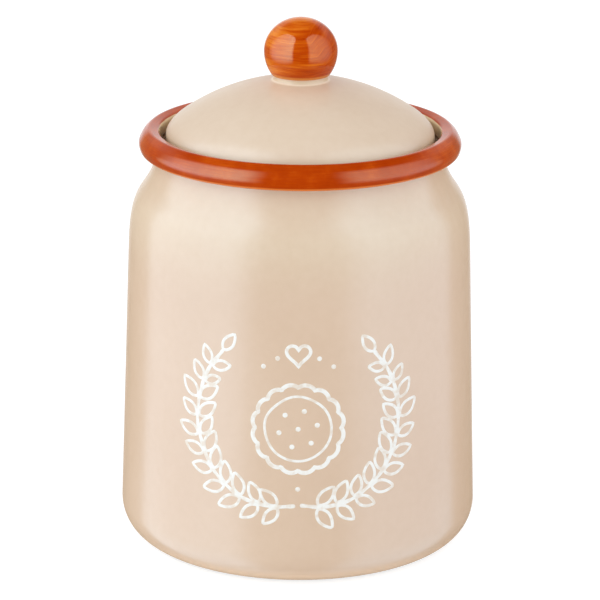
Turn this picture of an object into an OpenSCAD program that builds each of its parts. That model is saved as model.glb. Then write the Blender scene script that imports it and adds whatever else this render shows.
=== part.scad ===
// Biscuit jar: a stoneware jar with a rolled rim, a recessed domed lid with a silicone seal,
// and a ball knob held by a screw from inside the lid.
// Millimetres, +Z up, origin at the centre of the foot on the table.

/* [Jar body] */
// Height of the jar from the table to the top of the rolled rim
jar_h = 196.8; // [180:0.2:240]
// Outside diameter at the top of the base round
base_d = 168.6; // [162:0.2:190]
// Outside diameter where the wall turns into the shoulder
shoulder_d = 160.2; // [150:0.2:180]
// Height of the shoulder, from where the wall turns up to the underside of the rim
shoulder_h = 43.3; // [38:0.1:52]
// Outside diameter of the neck, inside the rolled rim
neck_d = 134; // [133:0.5:136]
// Height of the straight neck that shows under the rim
neck_show = 1.6; // [1:0.1:4]
// Lean of the shoulder where it meets the neck, from upright
shoulder_lean = 14; // [5:1:30]
// How roundly the wall turns into the shoulder
shoulder_turn = 31; // [20:1:34]
// How roundly the shoulder turns into the neck
neck_turn = 20.4; // [12:0.2:24]
// Thickness of the thrown wall
wall = 5; // [4:0.5:7]
// Thickness of the floor
floor_t = 6; // [4:0.5:9]
// Width of the base round
base_round_w = 14; // [8:0.5:18]
// Height of the base round
base_round_h = 16.5; // [10:0.5:22]
// Radius of the round between the inner wall and the floor
floor_round = 10; // [5:0.5:16]

/* [Foot ring] */
// Width of the unglazed ring that touches the table
foot_w = 6; // [4:0.5:9]
// Depth of the recess inside the foot ring
foot_recess = 2.5; // [1.5:0.5:4]
// Width of the sloping flank from the foot ring into the recess
foot_flank = 3; // [1:0.5:5]

/* [Rolled rim] */
// Outside diameter of the rim
rim_d = 150; // [148:0.5:156]
// Width of the rim's section
rim_w = 9.7; // [9.5:0.1:11]
// Height of the rim's section
rim_h = 11.8; // [10.5:0.1:13]
// Radius of the roll, the full lower part of the section
rim_roll = 4.7; // [4:0.1:4.7]
// Radius of the crest, which the roll is drawn up to
rim_crest = 2; // [1:0.1:3]
// Distance of the crest inwards from the middle of the section
crest_in = 0.4; // [0:0.1:1.2]
// Radius of the round where the top of the rim turns down into the mouth
mouth_round = 2; // [1:0.1:2.5]
// Drop of the top from the crest to that round
mouth_drop = 0.6; // [0.3:0.1:1.5]

/* [Mouth] */
// Depth of the ledge that carries the lid, below the crest of the rim
ledge_depth = 8.8; // [8:0.1:12]
// Diameter of the bore below the ledge, where the seal runs
bore_d = 112; // [106:0.5:114]
// Height of the straight bore below the ledge
bore_h = 13; // [12:0.5:18]

/* [Lid] */
// Gap between the lid's edge and the mouth, all round
lid_gap = 2.8; // [1:0.1:3]
// Height of the lid's widest edge above the ledge
lid_edge_h = 5; // [4:0.5:6]
// Rise of the dome above its widest edge
lid_rise = 27; // [20:0.2:32]
// Radius of curvature of the dome
dome_radius = 97; // [88:1:110]
// Width of the rounded border outside the dome's arc
lid_border = 7; // [5:0.5:12]
// Radius of the round under the lid's edge
lid_under_round = 4; // [2:0.5:4]
// Thickness of the dome
lid_wall = 5.5; // [4:0.5:6]
// Height of the skirt that reaches down into the bore
skirt_h = 12; // [11:0.5:16]
// Thickness of the skirt
skirt_t = 5; // [4:0.5:7]
// Radius of the fillet between the skirt and the inside of the dome
skirt_fillet = 8; // [4:1:12]

/* [Knob seat] */
// Diameter of the collar that the knob stands on
collar_d = 26.8; // [24:0.2:30]
// Height of the collar's top above the crown of the dome
collar_rise = 1.8; // [1:0.1:4]
// Reach of the fillet at the foot of the collar
collar_fillet = 3; // [2:0.5:5]
// Diameter of the flat boss inside the lid, round the screw hole
boss_d = 20; // [18:1:26]
// Height of that boss below the inside of the dome
boss_drop = 1.5; // [1:0.5:3]

/* [Seal] */
// Clearance between the seal's fins and the bore
seal_gap = 0.3; // [0.2:0.05:0.6]
// Reach of the fins from the skirt
fin_reach = 3.2; // [2:0.1:4.5]
// Number of fins
fin_count = 3; // [2:1:3]
// Spacing of the fins
fin_pitch = 2.6; // [2.2:0.1:2.8]
// Thickness of a fin at its root
fin_t = 1.4; // [1:0.1:1.8]
// Depth of the groove in the skirt that holds the seal
groove_depth = 1.6; // [1:0.1:2]
// Height of the seal's band and its groove
band_h = 8; // [7.5:0.1:8.5]
// Height of the groove above the foot of the skirt
groove_up = 2; // [1.5:0.1:2.2]

/* [Knob] */
// Diameter of the knob
knob_d = 34.2; // [30:0.2:40]
// Height of the knob above the collar
knob_h = 26.7; // [24:0.1:32]
// Height of the knob's widest part above the collar
knob_waist = 11.2; // [9:0.1:14]

/* [Knob fastening] */
// Nominal diameter of the screw's thread
screw_d = 5; // [4:0.5:6]
// Length of the screw below its head
screw_l = 18; // [17:1:20]
// Diameter of the screw's pan head
head_d = 9.5; // [9:0.5:11]
// Height of the screw's head
head_h = 3.2; // [2.5:0.1:4]
// Diameter of the washer
washer_d = 16; // [14:0.5:17.5]
// Thickness of the washer
washer_t = 1.5; // [1:0.5:2]
// Outside diameter of the threaded insert in the knob
insert_d = 8; // [7.5:0.5:10]
// Length of the insert
insert_l = 12; // [10:0.5:14]
// Clearance of the screw in the lid and in the washer, all round
screw_gap = 0.4; // [0.2:0.1:0.6]
// Running clearance between the thread and the insert, all round
thread_gap = 0.05; // [0.02:0.01:0.1]

/* [Hidden] */

ROUND_FN = 144;      // sides of the large revolved forms, drawn by the viewer only
SMALL_FN = 48;       // the same for the screw, the washer and the insert
STEPS = 12;          // segments of a quarter round
LONG_STEPS = 24;     // segments of a long blended curve
EDGE = 1;            // small chamfers, and how far a cutter runs past what it cuts

// The jar: heights from the table, radii from the axis
base_r = base_d / 2;
neck_r = neck_d / 2;
rim_under_z = jar_h - rim_h;
neck_z = rim_under_z - neck_show;
shoulder_z = rim_under_z - shoulder_h;
shoulder_r = shoulder_d / 2;
wall_lean = (base_r - shoulder_r) / (shoulder_z - base_round_h);
floor_z = foot_recess + floor_t;

// The neck's lip ends at the middle of the roll, where it and the rim are flush inside
rim_r = rim_d / 2;
mouth_r = rim_r - rim_w;
lip_z = rim_under_z + rim_roll;
ledge_z = jar_h - ledge_depth;
bore_r = bore_d / 2;
bore_foot_z = ledge_z - bore_h;

// The lid stands on the ledge
lid_r = mouth_r - lid_gap;
lid_edge_z = ledge_z + lid_edge_h;
crown_z = lid_edge_z + lid_rise;
dome_centre_z = crown_z - dome_radius;
border_r = lid_r - lid_border;
skirt_r = bore_r - seal_gap - fin_reach;
skirt_in_r = skirt_r - skirt_t;
skirt_foot_z = ledge_z - skirt_h;
inner_dome_radius = dome_radius - lid_wall;
groove_z = skirt_foot_z + groove_up;
groove_r = skirt_r - groove_depth;

// The knob stands on the collar, and the screw comes up through the lid
collar_r = collar_d / 2;
seat_z = crown_z + collar_rise;
boss_z = crown_z - lid_wall - boss_drop;
knob_r = knob_d / 2;
hole_r = screw_d / 2 + screw_gap;
insert_z = seat_z + EDGE;
washer_z = boss_z - washer_t;
screw_top_z = washer_z + screw_l;

// A point of a quadratic curve with corner b
function bend(a, b, c, t) = (1 - t) * (1 - t) * a + 2 * (1 - t) * t * b + t * t * c;

// A point of a cubic curve with handles b and c
function blend(a, b, c, d, t) =
    pow(1 - t, 3) * a + 3 * pow(1 - t, 2) * t * b + 3 * (1 - t) * t * t * c + pow(t, 3) * d;

// Points of an elliptical arc about centre c with half axes rx and ry, from angle a0 to a1
function arc(c, rx, ry, a0, a1, n) =
    [for (i = [0:n]) let (a = a0 + (a1 - a0) * i / n) [c[0] + rx * cos(a), c[1] + ry * sin(a)]];

// Points of the quadratic curve, ends included
function bend_points(a, b, c, n) = [for (i = [0:n]) bend(a, b, c, i / n)];

// Direction in which the common tangent of two circles touches both, on the side that is asked for
function touch_angle(a, ra, b, rb, side) =
    atan2(b[1] - a[1], b[0] - a[0]) + side * acos((ra - rb) / norm(b - a));

// Heights of the dome's outside and inside at radius r
function dome_z(r) = dome_centre_z + sqrt(dome_radius * dome_radius - r * r);
function inner_dome_z(r) = dome_centre_z + sqrt(inner_dome_radius * inner_dome_radius - r * r);
function dome_slope(r) = -r / sqrt(dome_radius * dome_radius - r * r);

// Outside of the shoulder, from the wall up to the neck
function shoulder_curve() =
    let (
        a = [shoulder_r, shoulder_z],
        b = a + shoulder_turn * [-wall_lean, 1],
        d = [neck_r, neck_z],
        c = d + neck_turn * [sin(shoulder_lean), -cos(shoulder_lean)]
    )
    [for (i = [0:LONG_STEPS]) blend(a, b, c, d, i / LONG_STEPS)];

// Inside of the shoulder, from the wall up to the foot of the bore: it thickens into the ledge
function inner_shoulder_curve() =
    let (
        a = [shoulder_r - wall, shoulder_z],
        b = a + (shoulder_turn - wall) * [-wall_lean, 1],
        d = [bore_r, bore_foot_z],
        c = d + neck_turn / 2 * [1, -0.7]
    )
    [for (i = [0:LONG_STEPS]) blend(a, b, c, d, i / LONG_STEPS)];

// Stoneware vessel: foot ring, leaning wall, shoulder, neck, ledge and bore
module jar_body() {
    foot_out_r = base_r - base_round_w;
    foot_in_r = foot_out_r - foot_w;
    inner_r = base_r - wall;
    foot = [[0, foot_recess], [foot_in_r - foot_flank, foot_recess], [foot_in_r, 0]];
    base_round = arc([foot_out_r, base_round_h], base_round_w, base_round_h, -90, 0, STEPS);
    lip = [[neck_r, lip_z], [mouth_r, lip_z], [mouth_r, ledge_z], [bore_r, ledge_z]];
    inner = inner_shoulder_curve();
    inner_shoulder = [for (i = [LONG_STEPS:-1:0]) inner[i]];
    floor_corner = arc(
        [inner_r - floor_round, floor_z + floor_round], floor_round, floor_round, 0, -90, STEPS
    );
    color("antiquewhite")
        rotate_extrude($fn = ROUND_FN)
            polygon(concat(
                foot, base_round, shoulder_curve(), lip, inner_shoulder, floor_corner, [[0, floor_z]]
            ));
}

// Section of the rolled rim: a full roll outside, drawn up by a straight flank to a crest, from
// which a broad top runs in to the mouth's upright wall
function rim_section() =
    let (
        outer = [rim_r - rim_roll, lip_z],
        inner = [mouth_r + rim_roll, lip_z],
        crest = [rim_r - rim_w / 2 - crest_in, jar_h - rim_crest],
        mouth = [mouth_r + mouth_round, jar_h - mouth_drop - mouth_round],
        outer_touch = touch_angle(outer, rim_roll, crest, rim_crest, -1),
        mouth_touch = touch_angle(mouth, mouth_round, crest, rim_crest, 1)
    )
    concat(
        arc(outer, rim_roll, rim_roll, -90, outer_touch, 2 * STEPS),
        arc(crest, rim_crest, rim_crest, outer_touch, mouth_touch, STEPS),
        arc(mouth, mouth_round, mouth_round, mouth_touch, 180, STEPS),
        arc(inner, rim_roll, rim_roll, 180, 270, STEPS)
    );

// Rolled rim, cut away inside to sit on the neck's lip and down its outside
module rim_ring() {
    color("chocolate")
        rotate_extrude($fn = ROUND_FN)
            difference() {
                polygon(rim_section());
                translate([0, rim_under_z - EDGE])
                    square([neck_r, lip_z - rim_under_z + EDGE]);
            }
}

// Domed lid: collar, dome, rounded edge that rests on the ledge, grooved skirt and inner boss
module lid() {
    fillet_r = collar_r + collar_fillet;
    collar_foot = [collar_r, dome_z(collar_r)];
    collar = concat(
        [[hole_r, seat_z], [collar_r, seat_z]],
        bend_points(
            [collar_r, (seat_z + collar_foot[1]) / 2], collar_foot, [fillet_r, dome_z(fillet_r)], STEPS
        )
    );
    dome = [
        for (i = [1:LONG_STEPS])
            let (r = fillet_r + (border_r - fillet_r) * i / LONG_STEPS)
            [r, dome_z(r)]
    ];
    border_corner = [lid_r, dome_z(border_r) + dome_slope(border_r) * lid_border];
    border = bend_points([border_r, dome_z(border_r)], border_corner, [lid_r, lid_edge_z], STEPS);
    under = arc(
        [lid_r - lid_under_round, ledge_z + lid_under_round], lid_under_round, lid_under_round,
        0, -90, STEPS
    );
    skirt = [
        [skirt_r, ledge_z], [skirt_r, groove_z + band_h], [groove_r, groove_z + band_h],
        [groove_r, groove_z], [skirt_r, groove_z], [skirt_r, skirt_foot_z + EDGE],
        [skirt_r - EDGE, skirt_foot_z], [skirt_in_r + EDGE, skirt_foot_z],
        [skirt_in_r, skirt_foot_z + EDGE]
    ];
    inner_corner = [skirt_in_r, inner_dome_z(skirt_in_r)];
    inner_fillet = bend_points(
        inner_corner - [0, skirt_fillet], inner_corner,
        [skirt_in_r - skirt_fillet, inner_dome_z(skirt_in_r - skirt_fillet)], STEPS
    );
    boss_r = boss_d / 2;
    inner_dome = [
        for (i = [LONG_STEPS - 1:-1:0])
            let (r = boss_r + (skirt_in_r - skirt_fillet - boss_r) * i / LONG_STEPS)
            [r, inner_dome_z(r)]
    ];
    color("bisque")
        rotate_extrude($fn = ROUND_FN)
            polygon(concat(
                collar, dome, border, under, skirt, inner_fillet, inner_dome,
                [[boss_r, boss_z], [hole_r, boss_z]]
            ));
}

// Silicone seal: a band in the skirt's groove with tapering fins that wipe the bore
module lid_seal() {
    lap = 0.4;
    band_out_r = skirt_r + lap;
    fins_h = (fin_count - 1) * fin_pitch;
    fin_z = groove_z + (band_h - fins_h) / 2;
    color("whitesmoke")
        rotate_extrude($fn = ROUND_FN) {
            translate([groove_r, groove_z])
                square([skirt_r - groove_r, band_h]);
            translate([skirt_r, groove_z + lap])
                square([lap, band_h - 2 * lap]);
            for (i = [0:fin_count - 1])
                translate([band_out_r, fin_z + i * fin_pitch])
                    seal_fin(skirt_r + fin_reach - band_out_r);
        }
}

// One fin's section: root on the band, leaning up to a blunt tip
module seal_fin(reach) {
    tip_t = fin_t / 2;
    root = 0.1;
    polygon([
        [-root, -fin_t / 2], [0, -fin_t / 2], [reach, fin_t / 2 - tip_t / 2],
        [reach, fin_t / 2 + tip_t / 2], [0, fin_t / 2], [-root, fin_t / 2]
    ]);
}

// Turned ball knob: two half ellipses on a flat foot, with a blind socket for the insert
module knob() {
    top_h = knob_h - knob_waist;
    foot_r = collar_r;
    // Lower half axis that brings the foot to the collar's radius
    low_h = knob_waist / sqrt(1 - pow(foot_r / knob_r, 2));
    foot_angle = -asin(knob_waist / low_h);
    waist = [0, seat_z + knob_waist];
    socket_r = insert_d / 2;
    socket_z = max(insert_z + insert_l, screw_top_z) + EDGE;
    color("sienna")
        rotate_extrude($fn = ROUND_FN)
            difference() {
                polygon(concat(
                    [[0, seat_z]],
                    arc(waist, knob_r, low_h, foot_angle, 0, LONG_STEPS),
                    arc(waist, knob_r, top_h, 0, 90, LONG_STEPS)
                ));
                translate([0, seat_z - EDGE])
                    square([socket_r, socket_z - seat_z + EDGE]);
            }
}

// Brass threaded insert in the knob's socket
module knob_insert() {
    color("goldenrod")
        translate([0, 0, insert_z])
            difference() {
                cylinder(d = insert_d, h = insert_l, $fn = SMALL_FN);
                translate([0, 0, -EDGE])
                    cylinder(r = screw_d / 2 + thread_gap, h = insert_l + 2 * EDGE, $fn = SMALL_FN);
            }
}

// Pan-head screw with a cross recess, from inside the lid up into the insert
module knob_screw() {
    head_z = washer_z - head_h;
    head_r = head_d / 2;
    crown_r = head_r * 0.62;
    thread_r = screw_d / 2;
    recess_w = head_d / 7;
    recess_l = head_d * 0.52;
    recess_h = head_h * 0.6;
    color("silver")
        difference() {
            rotate_extrude($fn = SMALL_FN)
                polygon(concat(
                    [[0, head_z]],
                    bend_points(
                        [crown_r, head_z], [head_r, head_z], [head_r, washer_z - EDGE], STEPS / 2
                    ),
                    [
                        [head_r, washer_z], [thread_r, washer_z], [thread_r, screw_top_z - EDGE],
                        [thread_r - EDGE, screw_top_z], [0, screw_top_z]
                    ]
                ));
            for (turn = [0, 90])
                rotate([0, 0, turn])
                    translate([-recess_l / 2, -recess_w / 2, head_z - EDGE])
                        cube([recess_l, recess_w, recess_h + EDGE]);
        }
}

// Soft washer that keeps the screw's head off the glaze
module screw_washer() {
    color("dimgray")
        translate([0, 0, washer_z])
            difference() {
                cylinder(d = washer_d, h = washer_t, $fn = SMALL_FN);
                translate([0, 0, -EDGE])
                    cylinder(r = hole_r, h = washer_t + 2 * EDGE, $fn = SMALL_FN);
            }
}

jar_body();
rim_ring();
lid();
lid_seal();
knob();
knob_insert();
knob_screw();
screw_washer();
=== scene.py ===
"""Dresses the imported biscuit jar: glazed stoneware, brushed cognac rim and knob, white line decoration.

Every object is in metres in the frame of the CAD model: +Z up, -Y towards the decorated front.
"""

import math
import random

import bpy
from mathutils import Euler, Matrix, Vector


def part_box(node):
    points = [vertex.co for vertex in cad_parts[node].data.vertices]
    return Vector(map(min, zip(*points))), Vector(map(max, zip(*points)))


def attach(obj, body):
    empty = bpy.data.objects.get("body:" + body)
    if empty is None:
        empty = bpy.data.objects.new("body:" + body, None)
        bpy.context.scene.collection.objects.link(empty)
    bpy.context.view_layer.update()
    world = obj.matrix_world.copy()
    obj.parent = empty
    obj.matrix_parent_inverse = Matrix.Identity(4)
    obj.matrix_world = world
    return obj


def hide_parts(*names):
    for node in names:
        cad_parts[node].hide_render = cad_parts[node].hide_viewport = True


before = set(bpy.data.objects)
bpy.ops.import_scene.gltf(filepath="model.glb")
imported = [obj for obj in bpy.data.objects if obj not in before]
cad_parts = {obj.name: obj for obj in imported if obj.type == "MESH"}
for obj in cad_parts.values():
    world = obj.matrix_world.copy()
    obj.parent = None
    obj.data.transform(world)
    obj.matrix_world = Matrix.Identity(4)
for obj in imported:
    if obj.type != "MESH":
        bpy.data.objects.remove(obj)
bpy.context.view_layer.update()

MM = 0.001
SEGMENTS = 240  # sides of each turned form
random.seed(7)


# ------------ sizes, from the frame
def node_radius(node):
    """Outside radius of a turned node: the least reach of its box, which its flat sides make uneven."""
    low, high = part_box(node)
    return min(high.x, high.y, -low.x, -low.y)


def node_bottom(node):
    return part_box(node)[0].z


def node_top(node):
    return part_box(node)[1].z


BASE_R = node_radius("jar_body")
LIP_Z = node_top("jar_body")
RIM_R = node_radius("rim_ring")
RIM_TOP_Z = node_top("rim_ring")
RIM_H = RIM_TOP_Z - node_bottom("rim_ring")
LID_R = node_radius("lid")
SEAT_Z = node_top("lid")
SKIRT_FOOT_Z = node_bottom("lid")
KNOB_R = node_radius("knob")
KNOB_TOP_Z = node_top("knob")
SEAL_R = node_radius("lid_seal")

# Jar body
WALL = 5.0 * MM
FLOOR_T = 6.0 * MM
FOOT_W = 6.0 * MM
FOOT_RECESS = 2.5 * MM
FOOT_FLANK = 3.0 * MM
BASE_ROUND = (14.0 * MM, 16.5 * MM)
FLOOR_ROUND = 10.0 * MM
SHOULDER_R = 80.1 * MM
SHOULDER_H = 43.3 * MM
SHOULDER_TURN = 31.0 * MM
NECK_R = 67.0 * MM
NECK_TURN = 20.4 * MM
NECK_SHOW = 1.6 * MM
SHOULDER_LEAN = math.radians(14)
LEDGE_DEPTH = 8.8 * MM
BORE_R = 56.0 * MM
BORE_H = 13.0 * MM
BORE_FLARE = 0.7  # fall of the inside below the bore for each unit outwards
RIM_W = 9.7 * MM
RIM_ROLL = 4.7 * MM
RIM_CREST = 2.0 * MM
CREST_IN = 0.4 * MM
RIM_BULGE = 6.8 * MM
BULGE_IN = 0.61 * MM
BULGE_UP = 0.64 * MM
RIM_HEEL = 3.0 * MM
HEEL_IN = 0.3 * MM
MOUTH_ROUND = 2.0 * MM
MOUTH_DROP = 0.6 * MM

# Lid
LID_EDGE_H = 5.0 * MM
DOME_RADIUS = 97.0 * MM
LID_BORDER = 7.0 * MM
LID_UNDER_ROUND = 4.0 * MM
LID_WALL = 5.5 * MM
SKIRT_R = 52.5 * MM
SKIRT_T = 5.0 * MM
SKIRT_FILLET = 8.0 * MM
SKIRT_BEVEL = 1.0 * MM
COLLAR_R = 13.4 * MM
COLLAR_INSET = 0.8 * MM  # of the glazed collar from the edge of the knob's foot
COLLAR_RISE = 1.8 * MM
COLLAR_FILLET = 3.0 * MM
BOSS_R = 10.0 * MM
BOSS_DROP = 1.5 * MM
SCREW_HOLE_R = 2.9 * MM
GROOVE_DEPTH = 1.6 * MM
GROOVE_UP = 2.0 * MM
BAND_H = 8.0 * MM

# Knob
KNOB_WAIST = 11.2 * MM
SOCKET_R = 4.0 * MM
SOCKET_TOP = 14.0 * MM

# Seal
SEAL_STEP = 0.4 * MM  # of its band out from the skirt and in from the groove's edges
FIN_COUNT = 3
FIN_PITCH = 2.6 * MM
FIN_T = 1.4 * MM

# Reach of the softening at the corners of each turned piece
JAR_SOFT = 0.5 * MM
RIM_SOFT = 0.2 * MM
LID_SOFT = 0.35 * MM
SEAL_SOFT = 0.15 * MM
KNOB_SOFT = 0.3 * MM
SOFT_TURN = 18  # degrees
SOFT_SHARE = 0.45  # the most of a side that one corner takes

HAIR = 0.01 * MM  # lengths below this count as nothing

# Derived heights and radii
RIM_UNDER_Z = RIM_TOP_Z - RIM_H
MOUTH_R = RIM_R - RIM_W
NECK_Z = RIM_UNDER_Z - NECK_SHOW
SHOULDER_Z = RIM_UNDER_Z - SHOULDER_H
WALL_LEAN = (BASE_R - SHOULDER_R) / (SHOULDER_Z - BASE_ROUND[1])
LEDGE_Z = RIM_TOP_Z - LEDGE_DEPTH
LID_EDGE_Z = LEDGE_Z + LID_EDGE_H
CROWN_Z = SEAT_Z - COLLAR_RISE
DOME_CENTRE_Z = CROWN_Z - DOME_RADIUS


# ------------ outlines
def arc(centre, half_axes, start, stop, steps):
    """Points of an elliptical arc, angles in degrees."""
    points = []
    for i in range(steps + 1):
        a = math.radians(start + (stop - start) * i / steps)
        points.append((centre[0] + half_axes[0] * math.cos(a), centre[1] + half_axes[1] * math.sin(a)))
    return points


def bend(a, corner, b, steps):
    """Points of a quadratic curve from a to b that heads for corner."""
    points = []
    for i in range(steps + 1):
        t = i / steps
        points.append(tuple(
            (1 - t) ** 2 * p + 2 * (1 - t) * t * q + t * t * r for p, q, r in zip(a, corner, b)
        ))
    return points


def blend(a, b, c, d, steps):
    """Points of a cubic curve from a to d with handles b and c."""
    points = []
    for i in range(steps + 1):
        t = i / steps
        points.append(tuple(
            (1 - t) ** 3 * p + 3 * (1 - t) ** 2 * t * q + 3 * (1 - t) * t * t * r + t ** 3 * s
            for p, q, r, s in zip(a, b, c, d)
        ))
    return points


def soften(points, radius, closed=False):
    """Rounds each corner of an outline that turns more than SOFT_TURN degrees."""
    count = len(points)
    result = []
    for i, here in enumerate(points):
        if not closed and i in (0, count - 1):
            result.append(here)
            continue
        before, after = Vector(points[i - 1]), Vector(points[(i + 1) % count])
        here = Vector(here)
        into, out = here - before, after - here
        if into.length < HAIR or out.length < HAIR:
            continue
        if math.degrees(into.angle(out)) < SOFT_TURN:
            result.append(tuple(here))
            continue
        reach = min(radius, into.length * SOFT_SHARE, out.length * SOFT_SHARE)
        start, stop = here - into.normalized() * reach, here + out.normalized() * reach
        result.extend(bend(tuple(start), tuple(here), tuple(stop), steps=6))
    return result


def dome_height(r, thickness=0.0):
    """Height of the dome's outer face at radius r, or of a face that lies thickness inside it."""
    radius = DOME_RADIUS - thickness
    return DOME_CENTRE_Z + math.sqrt(radius * radius - r * r)


def wall_radius(z):
    """Outside radius of the leaning wall at height z."""
    return SHOULDER_R + (SHOULDER_Z - z) * WALL_LEAN


def jar_outline():
    """Section of the vessel, from the axis under the foot round to the axis on the floor."""
    foot_r = BASE_R - BASE_ROUND[0]
    foot_in_r = foot_r - FOOT_W
    foot = [(0, FOOT_RECESS), (foot_in_r - FOOT_FLANK, FOOT_RECESS), (foot_in_r, 0)]
    base = arc((foot_r, BASE_ROUND[1]), BASE_ROUND, -90, 0, steps=24)
    wall = [(wall_radius(z), z) for z in spread(BASE_ROUND[1], SHOULDER_Z, 40)[1:-1]]
    start, end = (SHOULDER_R, SHOULDER_Z), (NECK_R, NECK_Z)
    shoulder = blend(
        start,
        (start[0] - WALL_LEAN * SHOULDER_TURN, start[1] + SHOULDER_TURN),
        (end[0] + NECK_TURN * math.sin(SHOULDER_LEAN), end[1] - NECK_TURN * math.cos(SHOULDER_LEAN)),
        end,
        steps=48,
    )
    lip = [(NECK_R, LIP_Z), (MOUTH_R, LIP_Z), (MOUTH_R, LEDGE_Z), (BORE_R, LEDGE_Z)]
    inner_r = BASE_R - WALL
    inner_start = (SHOULDER_R - WALL, SHOULDER_Z)
    bore_foot = (BORE_R, LEDGE_Z - BORE_H)
    inner_turn = SHOULDER_TURN - WALL
    inner_shoulder = blend(
        bore_foot,
        (bore_foot[0] + NECK_TURN / 2, bore_foot[1] - BORE_FLARE * NECK_TURN / 2),
        (inner_start[0] - WALL_LEAN * inner_turn, inner_start[1] + inner_turn),
        inner_start,
        steps=48,
    )
    floor_z = FOOT_RECESS + FLOOR_T
    floor_corner = arc(
        (inner_r - FLOOR_ROUND, floor_z + FLOOR_ROUND), (FLOOR_ROUND, FLOOR_ROUND), 0, -90, steps=16
    )
    return foot + base + wall + shoulder + lip + inner_shoulder + floor_corner + [(0, floor_z)]


def round_circles(circles):
    """Closed outline round (centre, radius) circles: their arcs, anticlockwise, and common tangents."""
    touches = []
    for (a, ra), (b, rb) in zip(circles, circles[1:] + circles[:1]):
        heading = math.atan2(b[1] - a[1], b[0] - a[0])
        touches.append(math.degrees(heading - math.acos((ra - rb) / math.dist(a, b))))
    points = []
    for i, (centre, radius) in enumerate(circles):
        turn = (touches[i] - touches[i - 1]) % 360
        steps = max(4, round(turn / 4))
        points.extend(arc(centre, (radius, radius), touches[i - 1], touches[i - 1] + turn, steps))
    return points


def rim_outline():
    """Closed section of the rolled rim, cut away inside where it sits on the neck's lip."""
    heel = (RIM_R - HEEL_IN - RIM_HEEL, RIM_UNDER_Z + HEEL_IN + RIM_HEEL)
    crest = (RIM_R - RIM_W / 2 - CREST_IN, RIM_TOP_Z - RIM_CREST)
    bulge = (RIM_R - RIM_BULGE - BULGE_IN, LIP_Z + BULGE_UP)
    mouth = (MOUTH_R + MOUTH_ROUND, RIM_TOP_Z - MOUTH_DROP - MOUTH_ROUND)
    inner = (MOUTH_R + RIM_ROLL, LIP_Z)
    points = round_circles([
        (heel, RIM_HEEL), ((RIM_R - RIM_ROLL, LIP_Z), RIM_ROLL), (bulge, RIM_BULGE), (crest, RIM_CREST),
        (mouth, MOUTH_ROUND), (inner, RIM_ROLL),
    ])
    cut = [p[0] < NECK_R and p[1] < LIP_Z + HAIR for p in points]
    first = next(i for i in range(len(points)) if cut[i - 1] and not cut[i])
    order = list(range(first, len(points))) + list(range(first))
    under_z = LIP_Z - math.sqrt(RIM_ROLL ** 2 - (inner[0] - NECK_R) ** 2)
    kept = [points[i] for i in order if not cut[i]]
    return [(NECK_R, under_z)] + kept + [(MOUTH_R, LIP_Z), (NECK_R, LIP_Z)]


def spread(low, high, steps):
    """Even values from low to high, both included."""
    return [low + (high - low) * i / steps for i in range(steps + 1)]


def lid_outline():
    """Closed section of the lid: collar, dome, border, seat, grooved skirt, inside and boss."""
    collar_r = COLLAR_R - COLLAR_INSET
    fillet_r = collar_r + COLLAR_FILLET
    foot_z = dome_height(collar_r)
    collar = [(SCREW_HOLE_R, SEAT_Z), (collar_r, SEAT_Z)] + bend(
        (collar_r, (SEAT_Z + foot_z) / 2), (collar_r, foot_z), (fillet_r, dome_height(fillet_r)), steps=14
    )
    border_r = LID_R - LID_BORDER
    dome = [(r, dome_height(r)) for r in spread(fillet_r, border_r, 60)[1:]]
    slope = -border_r / math.sqrt(DOME_RADIUS ** 2 - border_r ** 2)
    border = bend(
        (border_r, dome_height(border_r)),
        (LID_R, dome_height(border_r) + slope * LID_BORDER),
        (LID_R, LID_EDGE_Z),
        steps=24,
    )[1:]
    under = arc(
        (LID_R - LID_UNDER_ROUND, LEDGE_Z + LID_UNDER_ROUND), (LID_UNDER_ROUND, LID_UNDER_ROUND),
        0, -90, steps=16,
    )
    groove_z = SKIRT_FOOT_Z + GROOVE_UP
    groove_r = SKIRT_R - GROOVE_DEPTH
    skirt_in_r = SKIRT_R - SKIRT_T
    skirt = [
        (SKIRT_R, LEDGE_Z), (SKIRT_R, groove_z + BAND_H), (groove_r, groove_z + BAND_H),
        (groove_r, groove_z), (SKIRT_R, groove_z), (SKIRT_R, SKIRT_FOOT_Z + SKIRT_BEVEL),
        (SKIRT_R - SKIRT_BEVEL, SKIRT_FOOT_Z), (skirt_in_r + SKIRT_BEVEL, SKIRT_FOOT_Z),
        (skirt_in_r, SKIRT_FOOT_Z + SKIRT_BEVEL),
    ]
    corner_z = dome_height(skirt_in_r, LID_WALL)
    inner_r = skirt_in_r - SKIRT_FILLET
    inner_fillet = bend(
        (skirt_in_r, corner_z - SKIRT_FILLET), (skirt_in_r, corner_z),
        (inner_r, dome_height(inner_r, LID_WALL)), steps=16,
    )
    inner_dome = [(r, dome_height(r, LID_WALL)) for r in spread(inner_r, BOSS_R, 40)[1:]]
    boss_z = CROWN_Z - LID_WALL - BOSS_DROP
    boss = [(BOSS_R, boss_z), (SCREW_HOLE_R, boss_z)]
    return collar + dome + border + under + skirt + inner_fillet + inner_dome + boss


def knob_outline():
    """Section of the ball, from the axis in the socket round its foot to the crown."""
    top_h = KNOB_TOP_Z - SEAT_Z - KNOB_WAIST
    low_h = KNOB_WAIST / math.sqrt(1 - (COLLAR_R / KNOB_R) ** 2)
    foot_angle = -math.degrees(math.asin(KNOB_WAIST / low_h))
    waist = (0, SEAT_Z + KNOB_WAIST)
    socket = [(0, SEAT_Z + SOCKET_TOP), (SOCKET_R, SEAT_Z + SOCKET_TOP), (SOCKET_R, SEAT_Z)]
    low = arc(waist, (KNOB_R, low_h), foot_angle, 0, steps=36)
    top = arc(waist, (KNOB_R, top_h), 0, 90, steps=48)[1:]
    return socket + low + top


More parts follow.
